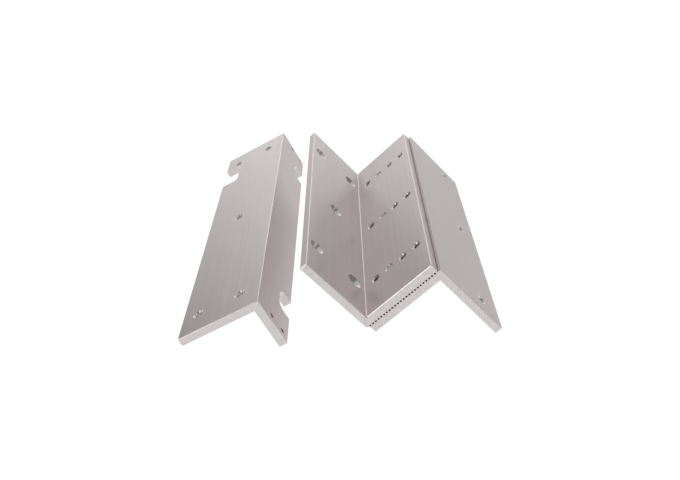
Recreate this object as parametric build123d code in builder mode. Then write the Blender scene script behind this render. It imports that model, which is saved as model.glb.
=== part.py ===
from build123d import *
from math import atan, cos, sin
import os

# Mounting brackets of a magnetic door lock: a loose L bracket beside an adjustable Z bracket.
# The Z bracket is two toothed angles held together by three screws from below.
# Millimetres, +Z up. X runs across the two brackets and Y along them.
# The origin is at the bottom centre of the whole set, on the surface that it stands on.

# Plates
PLATE = 4.8  # thickness of every plain leg
TOOTHED_PLATE = 5.2  # thickness of the two middle legs, out to the tooth crests
EDGE_RADIUS = 0.45  # rounding along the edges of each extrusion
INNER_RADIUS = 0.5  # rounding along the inside corner of each angle
END_CHAMFER = 0.4  # bevel round the sawn ends

# L bracket
L_LENGTH = 250.0
WIDE_LEG = 49.0
SHORT_LEG = 30.0
WIDE_HOLE_PITCH = (26.0, 214.4)  # across the leg and along it
WIDE_HOLE_CENTRE = 26.0  # from the ridge
LOCK_SCREW_BORE = 4.5
LOCK_SCREW_SINK = 6.4
SHORT_HOLE_PITCH = (10.7, 240.0)
SHORT_HOLE_CENTRE = 18.9
SHORT_HOLE_BORE = 2.8
WIDE_NOTCH = (12.5, 28.5)  # depth from the tip and width along the leg
WIDE_NOTCH_Y = 88.5  # centre, from the middle of the bracket towards its far end
WIDE_NOTCH_RADIUS = 3.0
SHORT_NOTCH = (11.5, 17.2)
SHORT_NOTCH_Y = 93.0  # centre of each, from the middle of the bracket
SHORT_NOTCH_RADIUS = 5.0

# Z bracket
Z_LENGTH = 199.0
Z_LEG = 51.0  # outside length of all four legs
OVERHANG = 3.0  # how far the lower angle's middle leg reaches past the valley
DOOR_HOLE_PITCH = (30.0, 142.0)
DOOR_HOLE_CENTRE = 23.6  # from the valley
DOOR_SCREW_BORE = 5.2
DOOR_SCREW_SINK = 9.6
PLATE_HOLE_PITCH = 87.2
PLATE_HOLE_CENTRE = 36.3  # from the lower angle's corner
PLATE_SCREW_BORE = 4.2
PLATE_SCREW_SINK = 5.8
TAPPED_COLUMNS = 4
TAPPED_COLUMN_PITCH = 10.2
TAPPED_ROW_PITCH = 67.7
FIRST_TAPPED_COLUMN = 8.6  # from the valley
TAPPED_BORE = 4.2  # tap drill of an M5 thread
TAPPED_CHAMFER = 0.8

# Teeth along the mating faces: the same flat crests and 90 degree grooves above and below
TOOTH_PITCH = 2.0
GROOVE_HALF_WIDTH = 0.7
GROOVE_DEPTH = 0.6
GROOVE_OVERCUT = 0.3
CREST_CLEARANCE = 0.05  # between the facing crests at rest
FIRST_GROOVE_U = -2.0  # in both angles
UPPER_GROOVES = 25  # the last one opens at the tip of the upper angle's middle leg
LOWER_GROOVES = 24
UPPER_CORNER_BEVEL = 0.7  # under the valley

# Adjustment slots and M5 clamp hardware
CLAMP_COLUMN = 1  # the second column of tapped holes
ADJUST_RANGE = (-2.0, 10.0)
SLOT_WIDTH = 5.5
SLOT_END_CLEARANCE = 0.3
SHANK = 4.9
THREADED_TIP = 4.1  # root diameter of the thread, clear of the tapped bore
THREADED_TIP_LENGTH = 5.0
SCREW_LENGTH = 12.0
HEAD = (8.5, 5.0)  # diameter and height
SOCKET = (4.0, 2.5)  # across flats and depth
HEAD_CHAMFER = 0.5
FLAT_WASHER = (5.3, 10.0, 1.0)  # inner diameter, outer diameter, thickness
SPRING_WASHER = (5.1, 9.2, 1.2)
SPRING_WASHER_SPLIT = 1.0

# How the two brackets stand beside each other
RIDGE_TO_VALLEY = 56.6
Z_NEAR_END = 15.2  # from the near end of the L bracket


def tip_rise(angle):
    """Height by which two rounded leg tips stand the bracket lower than sharp ones."""
    return EDGE_RADIUS * (sin(angle) + cos(angle) - 1)


# Tilt of the L bracket when both leg tips touch the ground
l_tilt = atan((SHORT_LEG - PLATE) / (WIDE_LEG - PLATE))
ridge_z = WIDE_LEG * sin(l_tilt) + PLATE * cos(l_tilt) - tip_rise(l_tilt)

# Tilt of the Z bracket: u runs up the middle legs and v away from their upper face
z_tilt = atan((Z_LEG - TOOTHED_PLATE) / (Z_LEG - PLATE))
corner_u = Z_LEG - OVERHANG
corner_v = -TOOTHED_PLATE - CREST_CLEARANCE
under_v = corner_v - TOOTHED_PLATE
valley_z = OVERHANG * sin(z_tilt) - under_v * cos(z_tilt) - tip_rise(z_tilt)

# Width of the set, which centres it on X
left_of_ridge = WIDE_LEG * cos(l_tilt)
right_of_valley = corner_u * cos(z_tilt) - (corner_v - Z_LEG) * sin(z_tilt)
set_width = left_of_ridge + RIDGE_TO_VALLEY + right_of_valley
ridge_x = left_of_ridge - set_width / 2
valley_x = ridge_x + RIDGE_TO_VALLEY
l_near_y = -L_LENGTH / 2
z_middle_y = l_near_y + Z_NEAR_END + Z_LENGTH / 2

# L bracket planes: the profile looks along +Y, and each face plane has x down its leg
wide_direction = Vector(-cos(l_tilt), 0, -sin(l_tilt))
short_direction = Vector(sin(l_tilt), 0, -cos(l_tilt))
ridge = Vector(ridge_x, 0, ridge_z)
l_profile = Plane(ridge + Vector(0, l_near_y, 0), x_dir=wide_direction, z_dir=(0, 1, 0))
wide_face = Plane(ridge, x_dir=wide_direction, z_dir=-short_direction)
short_face = Plane(ridge, x_dir=short_direction, z_dir=-wide_direction)

# Z bracket planes: the profile looks along -Y
up_middle = Vector(cos(z_tilt), 0, sin(z_tilt))
off_middle = Vector(-sin(z_tilt), 0, cos(z_tilt))
valley = Vector(valley_x, z_middle_y, valley_z)
z_far_end = Vector(0, Z_LENGTH / 2, 0)
corner = valley + up_middle * corner_u + off_middle * corner_v
z_profile = Plane(valley + z_far_end, x_dir=up_middle, z_dir=(0, -1, 0))
middle_face = Plane(valley, x_dir=up_middle, z_dir=off_middle)
door_face = Plane(valley, x_dir=off_middle, z_dir=up_middle)
armature_face = Plane(corner, x_dir=-off_middle, z_dir=up_middle)


def on(plane, points):
    """Locations of flat points on a plane."""
    return [plane.location * Location((x, y, 0)) for x, y in points]


def corners(centre, pitch):
    """The four corners of a hole pattern centred at (centre, 0)."""
    half_x, half_y = pitch[0] / 2, pitch[1] / 2
    return [(centre + side * half_x, end * half_y) for side in (-1, 1) for end in (-1, 1)]


def angle_section(plane, points, inner_corner, sharp_corners=0):
    """Section of an angle, rounded at its inside corner and at all others but the first few."""
    with BuildSketch(plane) as section:
        with BuildLine():
            Polyline(*points, close=True)
        make_face()
        fillet(section.vertices().sort_by_distance(points[inner_corner])[0], INNER_RADIUS)
        for i, point in enumerate(points):
            if i >= sharp_corners and i != inner_corner:
                fillet(section.vertices().sort_by_distance(point)[0], EDGE_RADIUS)
    return section.sketch


def open_end_edges(angle, mating_plane):
    """Edges round the sawn ends of an angle, without the two in its mating face."""
    end_edges = angle.faces().filter_by(Axis.Y).edges()
    return end_edges.filter_by(
        lambda edge: abs(mating_plane.to_local_coords(edge.center()).Z) > EDGE_RADIUS / 4
    )


def tip_notch(face, leg, size, middle_y, radius):
    """Outline of a notch that is open at the tip of a leg, with rounded inner corners."""
    depth, width = size
    with BuildSketch(face) as outline:
        with Locations((leg, middle_y)):
            Rectangle(2 * depth, width)
        fillet(outline.vertices().group_by(Axis.X)[0], radius)
    return outline.sketch


def tooth_grooves(count, face_v, into):
    """Row of grooves across a middle leg, cut from its face at face_v; into is +1 or -1 along v."""
    mouth = GROOVE_HALF_WIDTH + GROOVE_OVERCUT
    bottom = GROOVE_HALF_WIDTH - GROOVE_DEPTH
    with BuildSketch(z_profile) as grooves:
        with Locations(*[(FIRST_GROOVE_U + i * TOOTH_PITCH, face_v) for i in range(count)]):
            Polygon(
                (-mouth, -into * GROOVE_OVERCUT),
                (mouth, -into * GROOVE_OVERCUT),
                (bottom, into * GROOVE_DEPTH),
                (-bottom, into * GROOVE_DEPTH),
                align=None,
            )
    return grooves.sketch


def save(piece, name):
    """Label a finished piece and write its STEP file."""
    piece.part.label = name
    export_step(piece.part, f"parts/{name}.step")


os.makedirs("parts", exist_ok=True)

# ---- L bracket
l_section = angle_section(
    l_profile,
    [
        (0, 0),
        (WIDE_LEG, 0),
        (WIDE_LEG, -PLATE),
        (PLATE, -PLATE),
        (PLATE, -SHORT_LEG),
        (0, -SHORT_LEG),
    ],
    inner_corner=3,
)
wide_notch = tip_notch(wide_face, WIDE_LEG, WIDE_NOTCH, -WIDE_NOTCH_Y, WIDE_NOTCH_RADIUS)
short_notches = [
    tip_notch(short_face, SHORT_LEG, SHORT_NOTCH, end * SHORT_NOTCH_Y, SHORT_NOTCH_RADIUS)
    for end in (-1, 1)
]

lock_holes = corners(WIDE_HOLE_CENTRE, WIDE_HOLE_PITCH) + [(WIDE_HOLE_CENTRE, 0)]

with BuildPart() as l_bracket:
    extrude(l_section, amount=L_LENGTH)
    chamfer(l_bracket.faces().filter_by(Axis.Y).edges(), END_CHAMFER)
    extrude(wide_notch, amount=2 * PLATE, both=True, mode=Mode.SUBTRACT)
    for notch in short_notches:
        extrude(notch, amount=2 * PLATE, both=True, mode=Mode.SUBTRACT)
    with Locations(*on(wide_face, lock_holes)):
        CounterSinkHole(
            LOCK_SCREW_BORE / 2, LOCK_SCREW_SINK / 2, depth=2 * PLATE, counter_sink_angle=90
        )
    with Locations(*on(short_face, corners(SHORT_HOLE_CENTRE, SHORT_HOLE_PITCH))):
        Hole(SHORT_HOLE_BORE / 2, depth=2 * PLATE)
save(l_bracket, "l_bracket")

# ---- Z bracket, upper angle: the middle leg lies on the lower angle, the door leg stands up from it
upper_section = angle_section(
    z_profile,
    [
        (-PLATE, -TOOTHED_PLATE + UPPER_CORNER_BEVEL),
        (-PLATE + UPPER_CORNER_BEVEL, -TOOTHED_PLATE),
        (Z_LEG - PLATE, -TOOTHED_PLATE),
        (Z_LEG - PLATE, 0),
        (0, 0),
        (0, Z_LEG - TOOTHED_PLATE),
        (-PLATE, Z_LEG - TOOTHED_PLATE),
    ],
    inner_corner=4,
    sharp_corners=3,
)
upper_grooves = tooth_grooves(UPPER_GROOVES, -TOOTHED_PLATE, into=1)
door_holes = corners(DOOR_HOLE_CENTRE, DOOR_HOLE_PITCH) + [(DOOR_HOLE_CENTRE, 0)]
tapped_columns = [FIRST_TAPPED_COLUMN + i * TAPPED_COLUMN_PITCH for i in range(TAPPED_COLUMNS)]
clamp_rows = [-TAPPED_ROW_PITCH, 0, TAPPED_ROW_PITCH]

with BuildPart() as upper_angle:
    extrude(upper_section, amount=Z_LENGTH)
    chamfer(open_end_edges(upper_angle, middle_face.offset(-TOOTHED_PLATE)), END_CHAMFER)
    extrude(upper_grooves, amount=Z_LENGTH, mode=Mode.SUBTRACT)
    with Locations(*on(door_face, door_holes)):
        CounterSinkHole(
            DOOR_SCREW_BORE / 2, DOOR_SCREW_SINK / 2, depth=2 * PLATE, counter_sink_angle=90
        )
    with Locations(*on(middle_face, [(u, y) for u in tapped_columns for y in clamp_rows])):
        CounterSinkHole(
            TAPPED_BORE / 2,
            TAPPED_BORE / 2 + TAPPED_CHAMFER,
            depth=2 * TOOTHED_PLATE,
            counter_sink_angle=90,
        )
save(upper_angle, "upper_angle")

# ---- Z bracket, lower angle: it stands on the tips of both its legs
lower_section = angle_section(
    z_profile,
    [
        (-OVERHANG, corner_v),
        (corner_u, corner_v),
        (corner_u, corner_v - Z_LEG),
        (corner_u - PLATE, corner_v - Z_LEG),
        (corner_u - PLATE, under_v),
        (-OVERHANG, under_v),
    ],
    inner_corner=4,
    sharp_corners=2,
)
lower_grooves = tooth_grooves(LOWER_GROOVES, corner_v, into=-1)
clamp_u = tapped_columns[CLAMP_COLUMN]
slot_u = clamp_u + sum(ADJUST_RANGE) / 2
slot_length = ADJUST_RANGE[1] - ADJUST_RANGE[0] + SLOT_WIDTH + 2 * SLOT_END_CLEARANCE
with BuildSketch(middle_face.offset(under_v)) as slots:
    with Locations(*[(slot_u, y) for y in clamp_rows]):
        SlotOverall(slot_length, SLOT_WIDTH)
armature_holes = [(PLATE_HOLE_CENTRE, row * PLATE_HOLE_PITCH) for row in (-1, 0, 1)]

with BuildPart() as lower_angle:
    extrude(lower_section, amount=Z_LENGTH)
    chamfer(open_end_edges(lower_angle, middle_face.offset(corner_v)), END_CHAMFER)
    extrude(lower_grooves, amount=Z_LENGTH, mode=Mode.SUBTRACT)
    extrude(slots.sketch, amount=2 * TOOTHED_PLATE, mode=Mode.SUBTRACT)
    with Locations(*on(armature_face, armature_holes)):
        CounterSinkHole(
            PLATE_SCREW_BORE / 2, PLATE_SCREW_SINK / 2, depth=2 * PLATE, counter_sink_angle=90
        )
save(lower_angle, "lower_angle")

# ---- Clamp hardware: each screw comes up through a slot into the upper angle
flat_inner, flat_outer, flat_thickness = FLAT_WASHER
spring_inner, spring_outer, spring_thickness = SPRING_WASHER
head_diameter, head_height = HEAD
socket_width, socket_depth = SOCKET

for row_name, row_y in zip(("near", "middle", "far"), clamp_rows):
    seat = valley + up_middle * clamp_u + off_middle * under_v + Vector(0, row_y, 0)
    seat_plane = Plane(seat, x_dir=up_middle, z_dir=-off_middle)
    spring_plane = seat_plane.offset(flat_thickness)
    head_plane = spring_plane.offset(spring_thickness)

    with BuildPart() as flat_washer:
        with BuildSketch(seat_plane):
            Circle(flat_outer / 2)
            Circle(flat_inner / 2, mode=Mode.SUBTRACT)
        extrude(amount=flat_thickness)
    save(flat_washer, f"flat_washer_{row_name}")

    with BuildPart() as spring_washer:
        with BuildSketch(spring_plane):
            Circle(spring_outer / 2)
            Circle(spring_inner / 2, mode=Mode.SUBTRACT)
            with Locations((spring_outer / 2, 0)):
                Rectangle(spring_outer, SPRING_WASHER_SPLIT, mode=Mode.SUBTRACT)
        extrude(amount=spring_thickness)
    save(spring_washer, f"spring_washer_{row_name}")

    with BuildPart() as clamp_screw:
        with BuildSketch(head_plane):
            Circle(head_diameter / 2)
        extrude(amount=head_height)
        chamfer(clamp_screw.faces().sort_by(Axis(seat, -off_middle))[-1].edges(), HEAD_CHAMFER)
        with BuildSketch(head_plane.offset(head_height)):
            RegularPolygon(socket_width / 2, 6, major_radius=False)
        extrude(amount=-socket_depth, mode=Mode.SUBTRACT)
        with BuildSketch(head_plane):
            Circle(SHANK / 2)
        extrude(amount=THREADED_TIP_LENGTH - SCREW_LENGTH)
        with BuildSketch(head_plane):
            Circle(THREADED_TIP / 2)
        extrude(amount=-SCREW_LENGTH)
    save(clamp_screw, f"clamp_screw_{row_name}")
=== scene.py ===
import math

import bpy
from mathutils import Matrix, Vector


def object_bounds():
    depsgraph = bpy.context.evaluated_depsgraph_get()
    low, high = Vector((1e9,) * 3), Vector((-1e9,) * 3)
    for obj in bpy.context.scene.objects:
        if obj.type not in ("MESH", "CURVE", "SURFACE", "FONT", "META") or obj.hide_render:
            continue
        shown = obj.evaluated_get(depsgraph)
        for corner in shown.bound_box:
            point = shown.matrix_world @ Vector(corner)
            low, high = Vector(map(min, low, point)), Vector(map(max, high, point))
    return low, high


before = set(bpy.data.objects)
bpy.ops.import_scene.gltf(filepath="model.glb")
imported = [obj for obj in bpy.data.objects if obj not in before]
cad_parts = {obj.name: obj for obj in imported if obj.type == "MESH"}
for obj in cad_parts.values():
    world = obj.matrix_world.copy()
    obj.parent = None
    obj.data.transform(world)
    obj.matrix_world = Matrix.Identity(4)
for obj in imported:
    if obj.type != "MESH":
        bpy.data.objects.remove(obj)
cad_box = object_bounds()

# ---- Where things stand, in metres
low, high = Vector(cad_box[0]), Vector(cad_box[1])
middle = (low + high) / 2

# ---- Camera
CAMERA_OFFSET = (-0.0072, -0.3678)  # from the middle on X, and from the near end on Y
CAMERA_HEIGHT = 0.2519
PITCH = math.radians(27.11)
YAW = math.radians(0.75)
ROLL = math.radians(0.95)
SENSOR_WIDTH = 36.0  # millimetres, as the lens
LENS = 44.6
NEAREST_SEEN = 0.01


def add_camera():
    """Camera at the set's near end, looking along it and down."""
    forward = Vector(
        (math.sin(YAW) * math.cos(PITCH), math.cos(YAW) * math.cos(PITCH), -math.sin(PITCH))
    )
    level_right = Vector((math.cos(YAW), -math.sin(YAW), 0))
    level_up = level_right.cross(forward)
    right = level_right * math.cos(ROLL) + level_up * math.sin(ROLL)
    up = level_up * math.cos(ROLL) - level_right * math.sin(ROLL)
    data = bpy.data.cameras.new("camera")
    data.sensor_width = SENSOR_WIDTH
    data.lens = LENS
    data.clip_start = NEAREST_SEEN
    camera = bpy.data.objects.new("camera", data)
    place = Vector((middle.x + CAMERA_OFFSET[0], low.y + CAMERA_OFFSET[1], CAMERA_HEIGHT))
    turn = Matrix((right, up, -forward)).transposed().to_4x4()
    camera.matrix_world = Matrix.Translation(place) @ turn
    bpy.context.scene.collection.objects.link(camera)
    bpy.context.scene.camera = camera


# ---- Shared node helpers
def new_material(name):
    """New node material: itself, its nodes, links and Principled shader."""
    material = bpy.data.materials.new(name)
    material.use_nodes = True
    tree = material.node_tree
    return material, tree.nodes, tree.links, tree.nodes["Principled BSDF"]


def scalar(nodes, links, operation, first, second):
    """One arithmetic step on two sockets or numbers."""
    node = nodes.new("ShaderNodeMath")
    node.operation = operation
    for socket, value in zip(node.inputs, (first, second)):
        if isinstance(value, (int, float)):
            socket.default_value = value
        else:
            links.new(value, socket)
    return node.outputs[0]


# ---- Light and floor
# Soft boxes of the white studio, in degrees: azimuth (0 is +Y, 90 is +X), elevation,
# radius of the even part and of the soft edge; then strength
SOFT_BOXES = {
    "back": (0, 20, 14, 38, 1.75),
    "back_right": (24, 4, 4, 20, 0.2),
    "top": (0, 80, 20, 50, 0.5),
    "left_front": (-118, 20, 6, 20, 1.8),
    "right": (105, 17, 8, 28, 0.5),
    "front_low": (180, 12, 20, 60, 0.1),
}
AMBIENT = 0.12
BACKDROP_GLOW = 0.8
BACKDROP_FADE = (1.5, 5)  # elevations between which the backdrop fades out
FLOOR_SIZE = 200.0
FLOOR_GLOW = 0.92
FLOOR_WHITE = 0.3
FLOOR_ROUGHNESS = 0.9


def direction(azimuth, elevation):
    """Unit vector towards an azimuth and elevation in degrees."""
    turn, lift = math.radians(azimuth), math.radians(elevation)
    flat = math.cos(lift)
    return (math.sin(turn) * flat, math.cos(turn) * flat, math.sin(lift))


def soft_edge(nodes, links, value, dark, full):
    """Light that rises smoothly from 0 to 1 as the value goes from dark to full."""
    fall = nodes.new("ShaderNodeMapRange")
    fall.interpolation_type = "SMOOTHSTEP"
    fall.inputs["From Min"].default_value = dark
    fall.inputs["From Max"].default_value = full
    links.new(value, fall.inputs["Value"])
    return fall.outputs["Result"]


def add_world():
    """White studio: an even light, a backdrop all round, and the SOFT_BOXES."""
    world = bpy.data.worlds.new("studio")
    bpy.context.scene.world = world
    world.use_nodes = True
    nodes, links = world.node_tree.nodes, world.node_tree.links
    coords = nodes.new("ShaderNodeTexCoord")
    split = nodes.new("ShaderNodeSeparateXYZ")
    links.new(coords.outputs["Generated"], split.inputs[0])
    even_height, edge_height = (math.sin(math.radians(angle)) for angle in BACKDROP_FADE)
    backdrop = soft_edge(nodes, links, split.outputs["Z"], edge_height, even_height)
    glow = scalar(nodes, links, "MULTIPLY", backdrop, BACKDROP_GLOW)
    glow.node.name = "backdrop"
    total = scalar(nodes, links, "ADD", glow, AMBIENT)
    for name, (azimuth, elevation, even, edge, strength) in SOFT_BOXES.items():
        towards = nodes.new("ShaderNodeVectorMath")
        towards.operation = "DOT_PRODUCT"
        links.new(coords.outputs["Generated"], towards.inputs[0])
        towards.inputs[1].default_value = direction(azimuth, elevation)
        edge_cosine, even_cosine = math.cos(math.radians(edge)), math.cos(math.radians(even))
        box = soft_edge(nodes, links, towards.outputs["Value"], edge_cosine, even_cosine)
        glow = scalar(nodes, links, "MULTIPLY", box, strength)
        glow.node.name = name
        total = scalar(nodes, links, "ADD", glow, total)
    total.node.name = "total"
    background = nodes["Background"]
    links.new(total, background.inputs["Color"])


def add_floor():
    """Plain white floor under the set, lit from within like a light table."""
    bpy.ops.mesh.primitive_plane_add(size=FLOOR_SIZE, location=(middle.x, middle.y, low.z))
    floor = bpy.context.object
    floor.name = "floor"
    material, _, _, shader = new_material("floor_white")
    shader.inputs["Base Color"].default_value = (FLOOR_WHITE, FLOOR_WHITE, FLOOR_WHITE, 1)
    shader.inputs["Roughness"].default_value = FLOOR_ROUGHNESS
    shader.inputs["Specular IOR Level"].default_value = 0.0
    shader.inputs["Emission Color"].default_value = (1, 1, 1, 1)
    shader.inputs["Emission Strength"].default_value = FLOOR_GLOW
    floor.data.materials.append(material)


# ---- Materials
ALUMINIUM = (0.56, 0.505, 0.512)
CUT_ALUMINIUM_AND_HIGHLIGHT = (0.70, 0.655, 0.66)  # sawn ends, bevels and drilled holes: their own lighter bare metal, plus a painted highlight on the bevels and in the holes
METALNESS = 0.9
# Each noise: cells per metre on X, Y and Z, then its detail.
# The drawn grain runs along Y and the saw marks along Z.
DIE_LINES = ((4200, 14, 4200), 3)
BROAD_STREAKS = ((420, 3, 420), 2)
CLOUDS = ((22, 9, 22), 3)
SAW_MARKS = ((2600, 2600, 700), 3)
# How far a surface has to turn towards Y to begin, and to be fully, cut or sawn. Cut faces get
# the lighter colour that is partly a painted highlight
CUT_AND_HIGHLIGHT_TURN = (0.15, 0.45)
SAWN_TURN = (0.9, 0.98)
STREAK_SUM = (0.6, 1.4)  # usual range of the die lines and broad streaks together
STREAK_TONE = (0.91, 1.09)
CLOUD_TONE = (0.97, 1.03)
SAW_TONE = (0.72, 1.28)
DRAWN_ROUGHNESS = (0.36, 0.48)
CUT_SMOOTHER = 0.16
SAWN_ROUGHER = 0.3
GRAIN_BUMP = 0.25
GRAIN_DEPTH = 0.00004

ZINC = (0.55, 0.55, 0.57)
ZINC_GRAIN = ((900, 900, 900), 4)
ZINC_TONE = (0.85, 1.12)
ZINC_ROUGHNESS = (0.25, 0.42)


def noise(nodes, links, coords, kind, offset):
    """Value of one kind of noise, moved by offset."""
    cells, detail = kind
    mapping = nodes.new("ShaderNodeMapping")
    mapping.inputs["Scale"].default_value = cells
    mapping.inputs["Location"].default_value = offset
    links.new(coords, mapping.inputs["Vector"])
    texture = nodes.new("ShaderNodeTexNoise")
    texture.inputs["Scale"].default_value = 1.0
    texture.inputs["Detail"].default_value = detail
    links.new(mapping.outputs["Vector"], texture.inputs["Vector"])
    return texture.outputs["Fac"]


def ranged(nodes, links, value, low_value, high_value, from_range=(0.0, 1.0)):
    """A value moved from one range to another and kept inside it."""
    node = nodes.new("ShaderNodeMapRange")
    node.inputs["From Min"].default_value, node.inputs["From Max"].default_value = from_range
    node.inputs["To Min"].default_value = low_value
    node.inputs["To Max"].default_value = high_value
    links.new(value, node.inputs["Value"])
    return node.outputs["Result"]


def mixed_colour(nodes, links, factor, first, second):
    """Blend of the colours that two sockets carry."""
    node = nodes.new("ShaderNodeMix")
    node.data_type = "RGBA"
    links.new(factor, node.inputs["Factor"])
    for name, colour in (("A", first), ("B", second)):
        socket = [s for s in node.inputs if s.name == name and s.type == "RGBA"][0]
        links.new(colour, socket)
    return [s for s in node.outputs if s.type == "RGBA"][0]


def scaled_colour(nodes, links, colour, factor):
    """A colour made lighter or darker by a socket."""
    node = nodes.new("ShaderNodeVectorMath")
    node.operation = "SCALE"
    node.inputs[0].default_value = colour
    links.new(factor, node.inputs["Scale"])
    return node.outputs["Vector"]


def brushed_aluminium(name, seed):
    """Satin aluminium: die lines along Y, matt sawn ends, lighter bevels and drilled holes
    whose bare metal colour also carries a painted highlight.
    """
    material, nodes, links, shader = new_material(name)
    coords = nodes.new("ShaderNodeTexCoord")
    place = coords.outputs["Object"]
    offset = (seed, 2.0 * seed, 3.0 * seed)
    fine = noise(nodes, links, place, DIE_LINES, offset)
    broad = noise(nodes, links, place, BROAD_STREAKS, offset)
    cloud = noise(nodes, links, place, CLOUDS, offset)
    saw_marks = noise(nodes, links, place, SAW_MARKS, offset)
    split = nodes.new("ShaderNodeSeparateXYZ")
    links.new(coords.outputs["Normal"], split.inputs[0])
    facing_end = scalar(nodes, links, "ABSOLUTE", split.outputs["Y"], 0.0)
    cut_and_highlight_mask = ranged(nodes, links, facing_end, 0.0, 1.0, CUT_AND_HIGHLIGHT_TURN)
    is_sawn = ranged(nodes, links, facing_end, 0.0, 1.0, SAWN_TURN)

    streaks = scalar(nodes, links, "ADD", fine, broad)
    tone = ranged(nodes, links, streaks, *STREAK_TONE, STREAK_SUM)
    tone = scalar(nodes, links, "MULTIPLY", tone, ranged(nodes, links, cloud, *CLOUD_TONE))
    drawn = scaled_colour(nodes, links, ALUMINIUM, tone)
    # Cut faces: lighter bare metal, which on the bevels and in the drilled holes is partly a
    # painted highlight
    cut_and_highlight = scaled_colour(nodes, links, CUT_ALUMINIUM_AND_HIGHLIGHT, ranged(nodes, links, saw_marks, *SAW_TONE))
    links.new(mixed_colour(nodes, links, cut_and_highlight_mask, drawn, cut_and_highlight), shader.inputs["Base Color"])

    rough = ranged(nodes, links, streaks, *DRAWN_ROUGHNESS, STREAK_SUM)
    smoother = ranged(nodes, links, cut_and_highlight_mask, 0.0, CUT_SMOOTHER)
    rough = scalar(nodes, links, "SUBTRACT", rough, smoother)
    rougher = ranged(nodes, links, is_sawn, 0.0, SAWN_ROUGHER)
    rough = scalar(nodes, links, "ADD", rough, rougher)
    links.new(rough, shader.inputs["Roughness"])
    shader.inputs["Metallic"].default_value = METALNESS

    bump = nodes.new("ShaderNodeBump")
    bump.inputs["Strength"].default_value = GRAIN_BUMP
    bump.inputs["Distance"].default_value = GRAIN_DEPTH
    links.new(streaks, bump.inputs["Height"])
    links.new(bump.outputs["Normal"], shader.inputs["Normal"])
    return material


def zinc_steel(name, seed):
    """Zinc plated steel with a fine, even grain."""
    material, nodes, links, shader = new_material(name)
    coords = nodes.new("ShaderNodeTexCoord")
    place = coords.outputs["Object"]
    offset = (seed, seed, seed)
    grain = noise(nodes, links, place, ZINC_GRAIN, offset)
    tone = ranged(nodes, links, grain, *ZINC_TONE)
    links.new(scaled_colour(nodes, links, ZINC, tone), shader.inputs["Base Color"])
    links.new(ranged(nodes, links, grain, *ZINC_ROUGHNESS), shader.inputs["Roughness"])
    shader.inputs["Metallic"].default_value = 1.0
    return material


def finish_node(node, material):
    """Give every slot of a CAD node one material."""
    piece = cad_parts[node]
    if not piece.material_slots:
        piece.data.materials.append(material)
    for slot in piece.material_slots:
        slot.material = material


add_camera()
add_world()
add_floor()
bpy.context.scene.view_settings.view_transform = "Standard"

for seed, node in enumerate(("l_bracket", "upper_angle", "lower_angle"), start=1):
    finish_node(node, brushed_aluminium(f"{node}_aluminium", seed))
screw_zinc = zinc_steel("screw_zinc", 1)
washer_zinc = zinc_steel("washer_zinc", 2)
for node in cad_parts:
    if node.startswith("clamp_screw"):
        finish_node(node, screw_zinc)
    elif "washer" in node:
        finish_node(node, washer_zinc)
